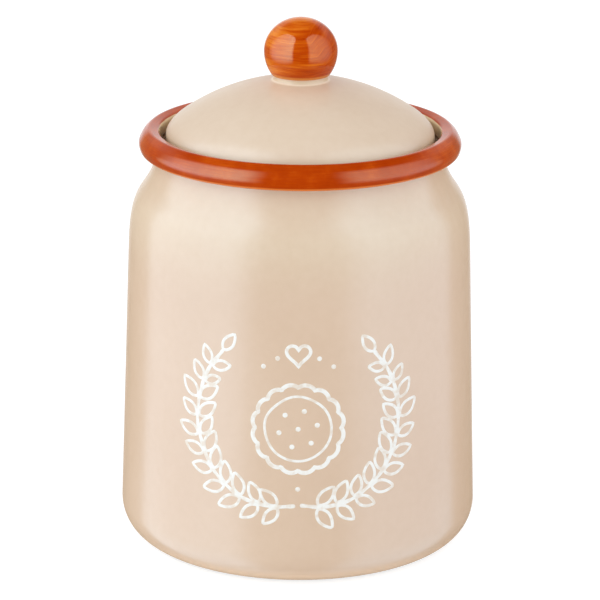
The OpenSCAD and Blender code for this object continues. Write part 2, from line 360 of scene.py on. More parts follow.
def seal_outline():
    """Closed section of the silicone seal: a band with three fins that lean up to the bore."""
    groove_r = SKIRT_R - GROOVE_DEPTH
    band_z = SKIRT_FOOT_Z + GROOVE_UP
    band_r = SKIRT_R + SEAL_STEP
    top = band_z + BAND_H
    fin_z = band_z + (BAND_H - (FIN_COUNT - 1) * FIN_PITCH) / 2
    low = [(groove_r, band_z), (SKIRT_R, band_z), (SKIRT_R, band_z + SEAL_STEP), (band_r, band_z + SEAL_STEP)]
    fins = []
    for i in range(FIN_COUNT):
        z = fin_z + i * FIN_PITCH
        fins += [
            (band_r, z - FIN_T / 2), (SEAL_R, z + FIN_T / 4),
            (SEAL_R, z + FIN_T * 0.75), (band_r, z + FIN_T / 2),
        ]
    high = [(band_r, top - SEAL_STEP), (SKIRT_R, top - SEAL_STEP), (SKIRT_R, top), (groove_r, top)]
    return low + fins + high


# ------------ meshes
def make_mesh(name, vertices, faces):
    mesh = bpy.data.meshes.new(name)
    mesh.from_pydata(vertices, [], faces)
    mesh.validate()
    mesh.polygons.foreach_set("use_smooth", [True] * len(mesh.polygons))
    return add_object(name, mesh)


def add_object(name, data):
    obj = bpy.data.objects.new(name, data)
    bpy.context.scene.collection.objects.link(obj)
    return obj


def paint(obj, material):
    obj.data.materials.clear()
    obj.data.materials.append(material)


def lathe(name, outline, closed=False):
    """Turns an outline of (radius, height) about Z. An open outline starts and ends on the axis."""
    vertices, faces, rings = [], [], []
    for r, z in outline:
        if r < HAIR:
            rings.append([len(vertices)] * SEGMENTS)
            vertices.append((0, 0, z))
            continue
        rings.append(list(range(len(vertices), len(vertices) + SEGMENTS)))
        for k in range(SEGMENTS):
            a = 2 * math.pi * k / SEGMENTS
            vertices.append((r * math.cos(a), r * math.sin(a), z))
    pairs = list(zip(rings, rings[1:]))
    if closed:
        pairs.append((rings[-1], rings[0]))
    for low, high in pairs:
        for k in range(SEGMENTS):
            m = (k + 1) % SEGMENTS
            corners = [low[k], low[m], high[m], high[k]]
            faces.append(list(dict.fromkeys(corners)))
    return make_mesh(name, vertices, faces)


# ------------ node trees
class Nodes:
    """A node tree, with short calls for the nodes used here. Each value is a socket or a number."""

    def __init__(self, tree):
        self.tree = tree

    def node(self, kind, *values, **settings):
        made = self.tree.nodes.new(kind)
        for key, value in settings.items():
            setattr(made, key, value)
        for socket, value in zip(made.inputs, values):
            self.feed(socket, value)
        return made

    def feed(self, socket, value):
        """Links value to the socket if it is another socket, and sets it if it is a number."""
        if isinstance(value, bpy.types.NodeSocket):
            self.tree.links.new(value, socket)
        else:
            socket.default_value = value

    def fill(self, made, **values):
        """Feeds a node's inputs by their names, with _ for a space."""
        for name, value in values.items():
            self.feed(made.inputs[name.replace("_", " ")], value)
        return made

    def maths(self, operation, *values):
        return self.node("ShaderNodeMath", *values, operation=operation).outputs[0]

    def add(self, a, b):
        return self.maths("ADD", a, b)

    def subtract(self, a, b):
        return self.maths("SUBTRACT", a, b)

    def times(self, a, b):
        return self.maths("MULTIPLY", a, b)

    def span(self, value, low, high, to_low=0.0, to_high=1.0, smooth=False):
        """Value mapped from low..high to to_low..to_high, held at the ends."""
        course = "SMOOTHSTEP" if smooth else "LINEAR"
        ends = low, high, to_low, to_high
        return self.node("ShaderNodeMapRange", value, *ends, interpolation_type=course).outputs["Result"]

    def combine(self, x, y, z):
        return self.node("ShaderNodeCombineXYZ", x, y, z).outputs[0]

    def split(self, vector):
        return self.node("ShaderNodeSeparateXYZ", vector).outputs

    def vector(self, operation, *values):
        return self.node("ShaderNodeVectorMath", *values, operation=operation).outputs[0]

    def length(self, vector):
        return self.node("ShaderNodeVectorMath", vector, operation="LENGTH").outputs["Value"]


# ------------ materials
class Shader(Nodes):
    """The nodes of a material."""

    def __init__(self, name):
        self.material = bpy.data.materials.new(name)
        self.material.use_nodes = True
        super().__init__(self.material.node_tree)
        self.bsdf = self.tree.nodes["Principled BSDF"]

    def set(self, **values):
        self.fill(self.bsdf, **values)

    def place(self):
        """The point in the piece's own space in metres, as one socket and as x, y and z sockets."""
        point = self.node("ShaderNodeTexCoord").outputs["Object"]
        return point, self.split(point)

    def noise(self, vector, scale, detail=3.0, roughness=0.5):
        made = self.node("ShaderNodeTexNoise")
        self.fill(made, Vector=vector, Scale=scale, Detail=detail, Roughness=roughness)
        return made.outputs["Fac"]

    def ramp(self, factor, places, colours):
        """Colour along a factor, with one of the colours at each of the places."""
        made = self.node("ShaderNodeValToRGB", factor)
        elements = made.color_ramp.elements
        while len(elements) < len(places):
            elements.new(0.5)
        for element, place, colour in zip(elements, places, colours):
            element.position = place
            element.color = (*colour, 1)
        return made.outputs["Color"]

    def mix(self, factor, a, b):
        """Colour a where the factor is 0 and colour b where it is 1."""
        made = self.node("ShaderNodeMix", factor, data_type="RGBA")
        colours = [s for s in made.inputs if s.type == "RGBA"]
        for socket, value in zip(colours, (a, b)):
            self.feed(socket, value if isinstance(value, bpy.types.NodeSocket) else (*value, 1))
        return [s for s in made.outputs if s.type == "RGBA"][0]

    def bump(self, height, distance, strength):
        made = self.fill(self.node("ShaderNodeBump"), Strength=strength, Distance=distance, Height=height)
        self.set(Normal=made.outputs["Normal"])


def srgb(red, green, blue):
    """A colour written in 0-255 screen values, as the linear values that shaders use."""
    return tuple(
        (c / 12.92 if c <= 0.04045 else ((c + 0.055) / 1.055) ** 2.4)
        for c in (red / 255, green / 255, blue / 255)
    )


# Satin cream glaze: each pair is the pale and the warm tone of its clouds
CREAM = srgb(221, 197, 170), srgb(216, 190, 161)
SAND = srgb(216, 187, 161), srgb(212, 182, 155)
LID_CREAM = srgb(222, 198, 173), srgb(217, 191, 164)
# Painted light that makes the round of the base paler
BASE_PAINTED_LIGHT = srgb(240, 209, 181)
# Painted shade on the ledge in the mouth
LEDGE_PAINTED_SHADE = srgb(132, 94, 60)
COLLAR_THICK = srgb(223, 195, 161)
# Painted highlight round the collar's fillet
COLLAR_PAINTED_HIGHLIGHT = srgb(246, 228, 204)
CLAY = srgb(196, 170, 140), srgb(150, 120, 92)
# Cognac glaze of the rim, from deep to bright, and the cream lining of the mouth, from low to high, painted
# darker low down as painted shade in the gap under the lid
COGNAC = srgb(164, 47, 0), srgb(178, 58, 1), srgb(200, 80, 8)
# Painted reflection along the rim's lower edge
COGNAC_EDGE_REFLECTION = srgb(224, 118, 40)
LINING_WITH_PAINTED_SHADE = srgb(212, 170, 122), srgb(236, 210, 168)
# Stained wood of the knob, from deep to pale
STAIN = srgb(158, 42, 0), srgb(186, 65, 2), srgb(206, 90, 10), srgb(228, 126, 34)
# Painted reflection of the lid round the foot of the knob
STAIN_FOOT_REFLECTION = srgb(222, 140, 66)
GLOSS = dict(IOR=1.5, Specular_Tint=(1.0, 0.7, 0.3, 1))  # the warm, clear coat of the rim and the knob
# The drawing's slip, the seal and the fastening
SLIP = srgb(224, 209, 192), srgb(235, 230, 222)
SILICONE = srgb(226, 225, 218), srgb(238, 237, 231)
STEEL = srgb(150, 152, 156), srgb(205, 206, 208)
BRASS = srgb(170, 130, 60), srgb(220, 180, 100)
RUBBER = srgb(30, 30, 31), srgb(52, 51, 50)

GLAZE_LINE_Z = 0.7 * MM  # about where the glaze ends, above the foot ring's bare clay


def turned_radius(s, x, y):
    """Distance from the axis of the jar."""
    return s.maths("SQRT", s.add(s.times(x, x), s.times(y, y)))


def glaze_clouds(s, point):
    """Soft clouds of tone, from 0 to 1, with a finer unevenness in them."""
    broad = s.times(s.noise(point, 14, detail=4), 0.7)
    fine = s.times(s.noise(point, 240, detail=2), 0.3)
    return s.span(s.add(broad, fine), 0.36, 0.64)


def satin_roughness(s, point, middle):
    """A roughness that drifts a little to both sides of the middle."""
    return s.span(s.noise(point, 60, detail=3), 0.3, 0.7, middle - 0.03, middle + 0.03)


def satin_skin(s, point):
    """The very fine unevenness of a satin glaze."""
    s.bump(s.noise(point, 900, detail=2), 0.004 * MM, 0.3)


def body_glaze():
    """Cream glaze, deeper in tone from the shoulder down, with painted light that makes it paler again round
    the base.

    It is painted darker on the ledge in the mouth, as painted shade in the gap under the lid, and leaves the
    foot ring bare.
    """
    s = Shader("cream_body_glaze")
    point, (x, y, z) = s.place()
    clouds = glaze_clouds(s, point)
    drift = s.add(z, s.times(s.noise(point, 20, detail=2), 20 * MM))
    depth = s.span(drift, SHOULDER_Z - 4 * MM, SHOULDER_Z + 40 * MM, 1.0, 0.0, smooth=True)
    colour = s.mix(depth, s.mix(clouds, *CREAM), s.mix(clouds, *SAND))
    # Painted light: the round of the base faces the floor and gets less light, so it is painted paler
    base = s.span(z, 2.5 * MM, 9.5 * MM, 1.0, 0.0, smooth=True)
    colour = s.mix(base, colour, BASE_PAINTED_LIGHT)
    # Painted shade: the ledge in the mouth, down in the gap under the lid, is painted darker
    in_mouth = s.span(turned_radius(s, x, y), MOUTH_R + 0.2 * MM, MOUTH_R + 0.4 * MM, 1.0, 0.0)
    from_ledge = s.span(z, LEDGE_Z - 1 * MM, LEDGE_Z - 0.5 * MM)
    colour = s.mix(s.times(in_mouth, from_ledge), colour, LEDGE_PAINTED_SHADE)
    wavy_z = s.add(z, s.times(s.noise(point, 120), -0.6 * MM))
    glazed = s.span(wavy_z, GLAZE_LINE_Z, GLAZE_LINE_Z + 0.25 * MM)
    specks = s.span(s.noise(point, 1500, detail=1), 0.45, 0.7)
    colour = s.mix(glazed, s.mix(specks, *CLAY), colour)
    # Bare clay is 0.5 rougher than the glaze
    bare_roughness = s.add(satin_roughness(s, point, 0.24), 0.5)
    s.set(Base_Color=colour, Roughness=s.add(s.times(glazed, -0.5), bare_roughness), IOR=1.52)
    satin_skin(s, point)
    return s.material


def lid_glaze():
    """Cream glaze that is thicker and paler on the collar, with a painted highlight round the collar's
    fillet.
    """
    s = Shader("cream_lid_glaze")
    point, (x, y, z) = s.place()
    colour = s.mix(glaze_clouds(s, point), *LID_CREAM)
    radius = turned_radius(s, x, y)
    edge = COLLAR_R - COLLAR_INSET
    outside = s.span(z, CROWN_Z - 3 * MM, CROWN_Z - 2 * MM)
    thick = s.span(radius, edge + 0.2 * MM, edge + 1.6 * MM, 0.8, 0.0, smooth=True)
    colour = s.mix(s.times(thick, outside), colour, COLLAR_THICK)
    # Painted highlight: a pale ring round the collar's fillet
    highlight_starts = s.span(radius, edge + 0.1 * MM, edge + 0.5 * MM)
    highlight_ends = s.span(radius, edge + 0.7 * MM, edge + 1.4 * MM, 0.8, 0.0)
    painted_highlight = s.times(highlight_starts, highlight_ends)
    colour = s.mix(s.times(painted_highlight, outside), colour, COLLAR_PAINTED_HIGHLIGHT)
    s.set(Base_Color=colour, Roughness=satin_roughness(s, point, 0.33), IOR=1.43)
    satin_skin(s, point)
    return s.material


def rim_glaze():
    """Gloss cognac glaze round the rim, with a painted reflection along its lower edge, and cream glaze down
    inside the mouth, painted darker low down as shade.
    """
    s = Shader("cognac_rim_glaze")
    point, (x, y, z) = s.place()
    radius = turned_radius(s, x, y)
    # The streaks run round the rim: they change fast across the roll and slowly along it
    across = s.maths("ARCTAN2", s.subtract(z, LIP_Z), s.subtract(radius, RIM_R - RIM_ROLL))
    along = s.maths("DIVIDE", x, radius), s.maths("DIVIDE", y, radius)
    streaks = s.noise(s.combine(*along, s.times(across, 3.6)), 5.0, detail=5, roughness=0.6)
    clouds = s.noise(point, 70, detail=4, roughness=0.6)
    tone = s.add(s.times(streaks, 0.35), s.times(clouds, 0.65))
    colour = s.ramp(tone, (0.32, 0.5, 0.68), COGNAC)
    # A painted reflection of the floor brightens the glaze along its lower edge
    painted_edge_reflection = s.span(z, RIM_UNDER_Z + 1.3 * MM, RIM_UNDER_Z + 2.2 * MM, 0.8, 0.0, smooth=True)
    colour = s.mix(painted_edge_reflection, colour, COGNAC_EDGE_REFLECTION)
    # The brush stops where the top turns down into the mouth
    in_mouth = s.span(radius, MOUTH_R + 1.4 * MM, MOUTH_R + 1.5 * MM, 1.0, 0.0)
    wavy_z = s.add(z, s.times(s.noise(point, 90, detail=2), 0.8 * MM))
    below = s.span(wavy_z, RIM_TOP_Z - 1.1 * MM, RIM_TOP_Z - 0.8 * MM, 1.0, 0.0)
    # Painted shade: the cream lining is painted darker towards the bottom of the mouth, in the gap under the
    # lid
    lining = s.mix(s.span(z, LIP_Z, RIM_TOP_Z - 2 * MM), *LINING_WITH_PAINTED_SHADE)
    s.set(Base_Color=s.mix(s.times(in_mouth, below), colour, lining), Roughness=0.11, **GLOSS)
    s.bump(streaks, 0.01 * MM, 0.2)
    return s.material


def wood_figure(s, across, course, fine_pitch, broad_pitch, strength):
    """Fine and broad figure that changes along a course, as a tone round 0.5."""
    fine = s.noise(s.combine(*across, s.times(course, fine_pitch)), 1.0, detail=5, roughness=0.7)
    broad = s.noise(s.combine(*across, s.times(course, broad_pitch)), 1.0, detail=2)
    figure = s.add(s.times(fine, 0.55), s.times(broad, 0.45))
    return s.add(s.times(s.subtract(figure, 0.5), strength), 0.5)


def knob_lacquer():
    """Turned and stained ball: level figure, and slanting figure in a wedge that opens to the right."""
    s = Shader("cognac_knob_lacquer")
    point, (x, y, z) = s.place()
    height = s.subtract(z, SEAT_Z)
    across = s.maths("DIVIDE", x, KNOB_R), s.maths("DIVIDE", y, KNOB_R)
    warp = s.times(s.noise(point, 55, detail=2), 2.6 * MM)
    level = s.add(height, warp)
    swirl = s.times(s.noise(point, 90, detail=2), 4 * MM)
    slant = s.add(s.subtract(s.times(level, 0.7), s.times(x, 0.7)), swirl)
    level_figure = wood_figure(s, across, level, 1300, 360, 0.85)
    slant_figure = wood_figure(s, across, slant, 2100, 560, 0.6)
    fold = s.maths("ABSOLUTE", s.subtract(height, 20 * MM))
    ragged = s.times(s.noise(point, 110, detail=3), 3 * MM)
    wedge = s.add(s.subtract(x, s.times(fold, 0.64)), ragged)
    slanted = s.span(wedge, 2 * MM, 6 * MM, smooth=True)
    figure = s.add(s.times(slanted, s.subtract(slant_figure, level_figure)), level_figure)
    # The stain is paler in a belt below the middle. On the crown it is paler, partly lighter figure and
    # partly painted light from above, least so in the wedge; painted light makes it paler low on the left,
    # where the stronger softbox falls, and painted shade deepens it a little to the right
    crown = s.span(s.subtract(level, s.times(x, 0.4)), 19 * MM, 26 * MM, 0.0, 0.15, smooth=True)
    figure = s.add(figure, s.times(crown, s.span(slanted, 0.0, 1.0, 1.0, 0.35)))
    off_belt = s.maths("ABSOLUTE", s.subtract(level, 9 * MM))
    figure = s.add(figure, s.span(off_belt, 0.5 * MM, 2.5 * MM, 0.05, 0.0, smooth=True))
    figure = s.add(figure, s.span(x, -KNOB_R, KNOB_R * 0.6, 0.0, -0.045))
    left = s.span(x, -KNOB_R * 0.8, -1 * MM, 0.11, 0.0)
    low = s.span(height, 5 * MM, 10 * MM, 1.0, 0.0)
    figure = s.add(figure, s.times(left, low))
    colour = s.ramp(figure, (0.34, 0.46, 0.56, 0.70), STAIN)
    # A painted reflection of the lid makes the stain paler where the ball meets the lid
    wavy_height = s.add(height, s.times(warp, 0.3))
    foot = s.span(wavy_height, 1.1 * MM, 2.4 * MM, 0.8, 0.0, smooth=True)
    s.set(Base_Color=s.mix(foot, colour, STAIN_FOOT_REFLECTION), Roughness=0.08, **GLOSS)
    s.bump(figure, 0.012 * MM, 0.2)
    return s.material


def line_engobe():
    """White slip of the line decoration, slightly uneven like a drawn line."""
    s = Shader("white_line_slip")
    point, _ = s.place()
    cover = s.span(s.noise(point, 260, detail=3), 0.36, 0.54)
    s.set(Base_Color=s.mix(cover, *SLIP), Roughness=0.45, IOR=1.4)
    s.bump(s.noise(point, 700, detail=2), 0.02 * MM, 0.4)
    return s.material


def silicone():
    s = Shader("milky_silicone")
    point, _ = s.place()
    haze = s.span(s.noise(point, 180, detail=3), 0.3, 0.7)
    s.set(Base_Color=s.mix(haze, *SILICONE), Roughness=0.45, Transmission_Weight=0.1, IOR=1.41)
    s.bump(s.noise(point, 600, detail=2), 0.01 * MM, 0.4)
    return s.material


def turned_metal(name, tones, roughness):
    """Metal with the fine rings that a turning tool leaves."""
    s = Shader(name)
    _, (x, y, z) = s.place()
    rings = s.noise(s.combine(s.times(x, 0.05), s.times(y, 0.05), z), 3200, detail=3)
    s.set(Base_Color=s.mix(rings, *tones), Metallic=1.0, Roughness=roughness)
    s.bump(rings, 0.01 * MM, 0.3)
    return s.material


def rubber():
    s = Shader("black_rubber")
    point, _ = s.place()
    grain = s.noise(point, 1800, detail=3)
    s.set(Base_Color=s.mix(grain, *RUBBER), Roughness=0.75)
    s.bump(grain, 0.02 * MM, 0.5)
    return s.material


# ------------ line decoration
# Sizes and places are in mm: round the wall from the middle of the front, and above the table
DRAW_R = 82.0 * MM  # radius at which the drawing's widths are true
# Section of a line: shares of its half width, and lifts off the wall, from its sunk edge to its crest
CREST = 0.10
FLANK = ((1, -0.04), (0.85, 0.05), (0.5, 0.09))
RIBBON = [(-share, lift) for share, lift in FLANK] + [(0, CREST)] + list(reversed(FLANK))
END_ANGLES = (0.35, 0.7, 1.0, 1.25, 1.45, 1.56)  # of the rows of a line's round end, in radians
END_LEAST = 0.02  # half width of its last row

# How a line wavers: waves of its course, in radians per mm, and of its width
SWAYS = 3
SWAY_RATES = (0.12, 0.4)
SWAY_STARTS = (0, 6.28)
SWELL = 0.12
SWELL_RATE = 0.9
WOBBLE = 0.2  # reach of its course to either side
SMALL_WOBBLE = 0.15
RING_WOBBLE = 0.3

CURVE_STEPS = 40  # points on each span of a curve, before they are spaced evenly
# Spacing of the points of the lines
STEM_STEP = 0.8
LEAF_STEP = 0.7
EDGE_STEP = 0.6

# The wreath: the right half of its stem, and its leaves
STEM = ((2, 40.5), (14, 40), (28, 44.5), (40, 55), (47, 70), (48, 86), (43, 101), (36, 111))
STEM_LINE = 1.9
LEAF_LINE = 1.5
LEAF = (10.5, 5.4)  # length and width
TIP_LEAF = (9.5, 5)
LEAF_POINTS = 28
FIRST_PAIR = 8  # point of the stem with the first pair of leaves
LEAF_PITCH = 11  # points from one pair to the next
TIP_POINTS = 4  # points at the tip that have no pair
LEAF_LEAN = (0.78, 0.95)
LEAF_SIZES = (0.9, 1.08)
UPPER_LEAVES = 0.75  # share of the stem beyond which the leaves are smaller
UPPER_SIZE = 0.82
LEAF_GAP = 1.2  # between the stem's middle and a leaf's foot

# The biscuit, the heart and the dots
BISCUIT_PLACE = (0, 77)
BISCUIT_R = 21
BISCUIT_LINE = 2.1
SCALLOPS = 16
SCALLOP_POINTS = 12
SCALLOP_DEPTH = 0.07  # share of the biscuit's radius
SCALLOP_POWER = 0.7  # the lower, the fuller the scallops
RING_R = 0.72 * BISCUIT_R
RING_LINE = 1.3
RING_POINTS = 110
HOLES = 6
HOLES_R = 0.42 * BISCUIT_R
HOLES_TURN = 12  # degrees
HOLE_R = 1.25
HEART_PLACE = (0, 112)
HEART_SIZE = 11
HEART_LINE = 1.7
HEART_POINTS = 60
DOTS = ((-9.5, 110), (9.5, 110), (-16, 106), (16, 106), (0, 48.5))
DOT_R = 1.2
DOT_SIDES = 14


def curve_point(p, q, r, s, t):
    """Where a smooth curve through four values is, at the share t of the way from q to r."""
    square = 2 * p - 5 * q + 4 * r - s
    cube = 3 * q - p - 3 * r + s
    return 0.5 * (2 * q + (r - p) * t + square * t * t + cube * t ** 3)


def smooth_line(knots, step):
    """Points at an even step along a smooth curve through the knots."""
    ends = [tuple(2 * a - b for a, b in zip(knots[0], knots[1]))] + list(knots)
    ends.append(tuple(2 * a - b for a, b in zip(knots[-1], knots[-2])))
    dense = []
    for spans in zip(ends, ends[1:], ends[2:], ends[3:]):
        for i in range(CURVE_STEPS):
            dense.append(tuple(curve_point(*values, i / CURVE_STEPS) for values in zip(*spans)))
    dense.append(tuple(knots[-1]))
    return even_steps(dense, step)


def even_steps(points, step):
    """The same line with its points an even distance apart, close to step."""
    lengths = [math.dist(a, b) for a, b in zip(points, points[1:])]
    count = max(4, round(sum(lengths) / step))
    result, walked, i = [points[0]], 0.0, 0
    for k in range(1, count):
        goal = sum(lengths) * k / count
        while walked + lengths[i] < goal:
            walked += lengths[i]
            i += 1
        t = (goal - walked) / lengths[i]
        result.append(tuple(p + (q - p) * t for p, q in zip(points[i], points[i + 1])))
    return result + [points[-1]]


def even_loop(points, step):
    """The same closed line with its points an even distance apart, close to step."""
    return even_steps(points + [points[0]], step)[:-1]


def on_circle(centre, radius, angle):
    return centre[0] + radius * math.cos(angle), centre[1] + radius * math.sin(angle)


class Drawing:
    """Raised lines of slip on the front of the wall."""

    def __init__(self):
        self.vertices, self.faces = [], []

    def put(self, u, z, lift):
        """Adds a point that is lifted off the wall, and returns its number."""
        radius = wall_radius(z * MM) + lift * MM
        angle = u * MM / DRAW_R
        self.vertices.append((radius * math.sin(angle), -radius * math.cos(angle), z * MM))
        return len(self.vertices) - 1

    def line(self, points, width, closed=False, wobble=WOBBLE):
        """A line as if drawn by hand: its course wavers a little, and so does the width of an open one."""
        waves = [(random.uniform(*SWAY_RATES), random.uniform(*SWAY_STARTS)) for _ in range(SWAYS)]
        spans = [math.dist(a, b) for a, b in zip(points, points[1:])]
        walked = [sum(spans[:i]) for i in range(len(points))]
        if closed:
            # A whole number of waves fits into the loop
            whole = walked[-1] + math.dist(points[-1], points[0])
            counts = [max(1, round(rate * whole / math.tau)) for rate, _ in waves]
            waves = [(count * math.tau / whole, start) for count, (_, start) in zip(counts, waves)]
        rows = []
        for i, here in enumerate(points):
            before = points[i - 1] if i or closed else here
            after = points[(i + 1) % len(points)] if i + 1 < len(points) or closed else here
            ahead = Vector(after) - Vector(before)
            side = Vector((-ahead.y, ahead.x)).normalized()
            sway = sum(math.sin(walked[i] * rate + start) / SWAYS for rate, start in waves)
            swell = 0 if closed else SWELL * math.sin(walked[i] * SWELL_RATE + waves[0][1])
            rows.append((Vector(here) + side * sway * wobble, side, width / 2 * (1 + swell)))
        if not closed:
            rows = self.round_end(rows[0], -1) + rows + self.round_end(rows[-1], 1)
        grid = [
            [self.put(*(middle + side * half * across), lift) for across, lift in RIBBON]
            for middle, side, half in rows
        ]
        if closed:
            grid.append(grid[0])
        for low, high in zip(grid, grid[1:]):
            for k in range(len(RIBBON) - 1):
                self.faces.append((low[k], high[k], high[k + 1], low[k + 1]))

    def round_end(self, row, sense):
        """Rows that narrow to a round end beyond the first or last row of a line."""
        middle, side, half = row
        ahead = Vector((side.y, -side.x)) * sense
        rows = [
            (middle + ahead * half * math.sin(a), side, max(half * math.cos(a), END_LEAST))
            for a in END_ANGLES
        ]
        return rows if sense > 0 else rows[::-1]

    def dot(self, centre, radius):
        """A small round dab."""
        angles = [2 * math.pi * k / DOT_SIDES for k in range(DOT_SIDES)]
        rings = [
            [self.put(*on_circle(centre, radius * share, a), lift) for a in angles] for share, lift in FLANK
        ]
        top = self.put(*centre, CREST)
        for k in range(DOT_SIDES):
            m = (k + 1) % DOT_SIDES
            for low, high in zip(rings, rings[1:]):
                self.faces.append((low[k], low[m], high[m], high[k]))
            self.faces.append((rings[-1][k], rings[-1][m], top))


def draw_leaf(drawing, foot, heading, size):
    """A closed pointed leaf from foot along heading, in radians, broadest a little before its middle."""
    length, width = size
    ahead = Vector((math.cos(heading), math.sin(heading)))
    side = Vector((-ahead.y, ahead.x))
    points = []
    for i in range(LEAF_POINTS):
        t = i / LEAF_POINTS
        along = 2 * t if t < 0.5 else 2 - 2 * t
        sense = 1 if t < 0.5 else -1
        belly = math.sin(math.pi * along ** 0.85) ** 0.8
        points.append(tuple(foot + ahead * length * along + side * sense * belly * width / 2))
    drawing.line(even_loop(points, LEAF_STEP), LEAF_LINE, closed=True, wobble=SMALL_WOBBLE)


def draw_sprig(drawing, mirror):
    """One half of the wreath: a stem that curves up from the middle, with pairs of leaves."""
    stem = smooth_line([(mirror * u, z) for u, z in STEM], STEM_STEP)
    drawing.line(stem, STEM_LINE)
    for i in range(FIRST_PAIR, len(stem) - TIP_POINTS, LEAF_PITCH):
        ahead = Vector(stem[i + 1]) - Vector(stem[i])
        heading = math.atan2(ahead.y, ahead.x)
        for sense in (-1, 1):
            lean = heading + sense * random.uniform(*LEAF_LEAN)
            size = random.uniform(*LEAF_SIZES) * (1 if i < len(stem) * UPPER_LEAVES else UPPER_SIZE)
            foot = Vector(stem[i]) + Vector((math.cos(lean), math.sin(lean))) * LEAF_GAP
            draw_leaf(drawing, foot, lean, [measure * size for measure in LEAF])
    ahead = Vector(stem[-1]) - Vector(stem[-TIP_POINTS])
    draw_leaf(drawing, Vector(stem[-1]) + ahead.normalized(), math.atan2(ahead.y, ahead.x), TIP_LEAF)


def draw_biscuit(drawing):
    """A round biscuit with a scalloped edge, an inner ring and pricked holes."""
    edge = []
    for i in range(SCALLOPS * SCALLOP_POINTS):
        a = 2 * math.pi * i / (SCALLOPS * SCALLOP_POINTS)
        bulge = abs(math.sin(a * SCALLOPS / 2)) ** SCALLOP_POWER
        edge.append(on_circle(BISCUIT_PLACE, BISCUIT_R * (1 - SCALLOP_DEPTH + SCALLOP_DEPTH * bulge), a))
    drawing.line(even_loop(edge, EDGE_STEP), BISCUIT_LINE, closed=True)
    ring = [on_circle(BISCUIT_PLACE, RING_R, 2 * math.pi * i / RING_POINTS) for i in range(RING_POINTS)]
    drawing.line(ring, RING_LINE, closed=True, wobble=RING_WOBBLE)
    drawing.dot(BISCUIT_PLACE, HOLE_R)
    for i in range(HOLES):
        a = math.radians(360 / HOLES * i + HOLES_TURN)
        drawing.dot(on_circle(BISCUIT_PLACE, HOLES_R, a), HOLE_R)


def draw_heart(drawing):
    """A small open heart between the tips of the wreath."""
    scale = HEART_SIZE / 32  # the curve below is 32 wide
    points = []
    for i in range(HEART_POINTS):
        a = 2 * math.pi * i / HEART_POINTS
        u = 16 * math.sin(a) ** 3
        z = 13 * math.cos(a) - 5 * math.cos(2 * a) - 2 * math.cos(3 * a) - math.cos(4 * a)
        points.append((HEART_PLACE[0] + u * scale, HEART_PLACE[1] + z * scale))
    drawing.line(even_loop(points, EDGE_STEP), HEART_LINE, closed=True, wobble=SMALL_WOBBLE)


def make_decoration():
    """White line drawing on the front: a leaf wreath round a biscuit, with a heart above."""
    drawing = Drawing()
    for mirror in (-1, 1):
        draw_sprig(drawing, mirror)
    draw_biscuit(drawing)
    draw_heart(drawing)
    for place in DOTS:
        drawing.dot(place, DOT_R)
    lines = make_mesh("slip_line_drawing", drawing.vertices, drawing.faces)
    paint(lines, line_engobe())
    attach(lines, "jar")


# ------------ the pieces
def place_piece(obj, material, body, node):
    paint(obj, material)
    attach(obj, body)
    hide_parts(node)


def make_jar():
    """The vessel and its rim. Returns the rim."""
    jar = lathe("glazed_jar_body", soften(jar_outline(), JAR_SOFT))
    place_piece(jar, body_glaze(), "jar", "jar_body")
    rim = lathe("cognac_rolled_rim", soften(rim_outline(), RIM_SOFT, closed=True), closed=True)
    place_piece(rim, rim_glaze(), "jar", "rim_ring")
    return rim


def make_lid():
    """The lid with its seal, knob and fastening. Returns the knob."""
    lid = lathe("glazed_domed_lid", soften(lid_outline(), LID_SOFT, closed=True), closed=True)
    place_piece(lid, lid_glaze(), "lid", "lid")
    seal = lathe("silicone_fin_seal", soften(seal_outline(), SEAL_SOFT, closed=True), closed=True)
    place_piece(seal, silicone(), "lid", "lid_seal")
    knob = lathe("turned_ball_knob", soften(knob_outline(), KNOB_SOFT))
    place_piece(knob, knob_lacquer(), "lid", "knob")
    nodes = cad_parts
    paint(nodes["knob_screw"], turned_metal("zinc_screw_steel", STEEL, 0.3))
    paint(nodes["knob_insert"], turned_metal("insert_brass", BRASS, 0.35))
    paint(nodes["screw_washer"], rubber())
    return knob


# ------------ stage, light and camera
# Light on dull surfaces: even, and more towards the left, the right and the front
SKY_EVEN = (0.73, 0.70, 0.72)
SKY_LEFT = (0.75, 0.88, 0.95)
SKY_RIGHT = (0.30, 0.32, 0.36)
SKY_FRONT = (0.43, 0.58, 0.62)
# What gloss shows: the dark room behind the camera, and the backdrop low down and higher up
FRONT_GLOW = (0.04, 0.04, 0.04)
LOW_GLOW = (0.42, 0.31, 0.19)
HIGH_GLOW = (0.62, 0.64, 0.66)
CEILING_GLOW = (0.05, 0.05, 0.05)
BACK_GLOW = (1.0, 1.0, 1.0)  # straight behind the jar, which the outermost edges show
# Spans of the direction's z, and of its y, in which one glow turns into the next
HIGHER = (0.1, 0.5)
CEILING = (0.5, 0.75)
BEHIND = (-0.5, 0.4)
STRAIGHT = (0.88, 0.96)
WHITE = (1.0, 1.0, 1.0)

FLOOR_HALF = 6.0  # half the floor's width
FLOOR_PALE = (0.95, 0.95, 0.95)  # the floor's colour for the light that it sends back to the jar
FLOOR_GREY = (0.34, 0.34, 0.34)  # its colour as the camera sees it, under its own white
FLOOR_GLOW = 0.78  # the floor's own white, as the camera sees it
FLOOR_LIFT = 0.02  # the light that the floor sends back besides, from beyond the stage

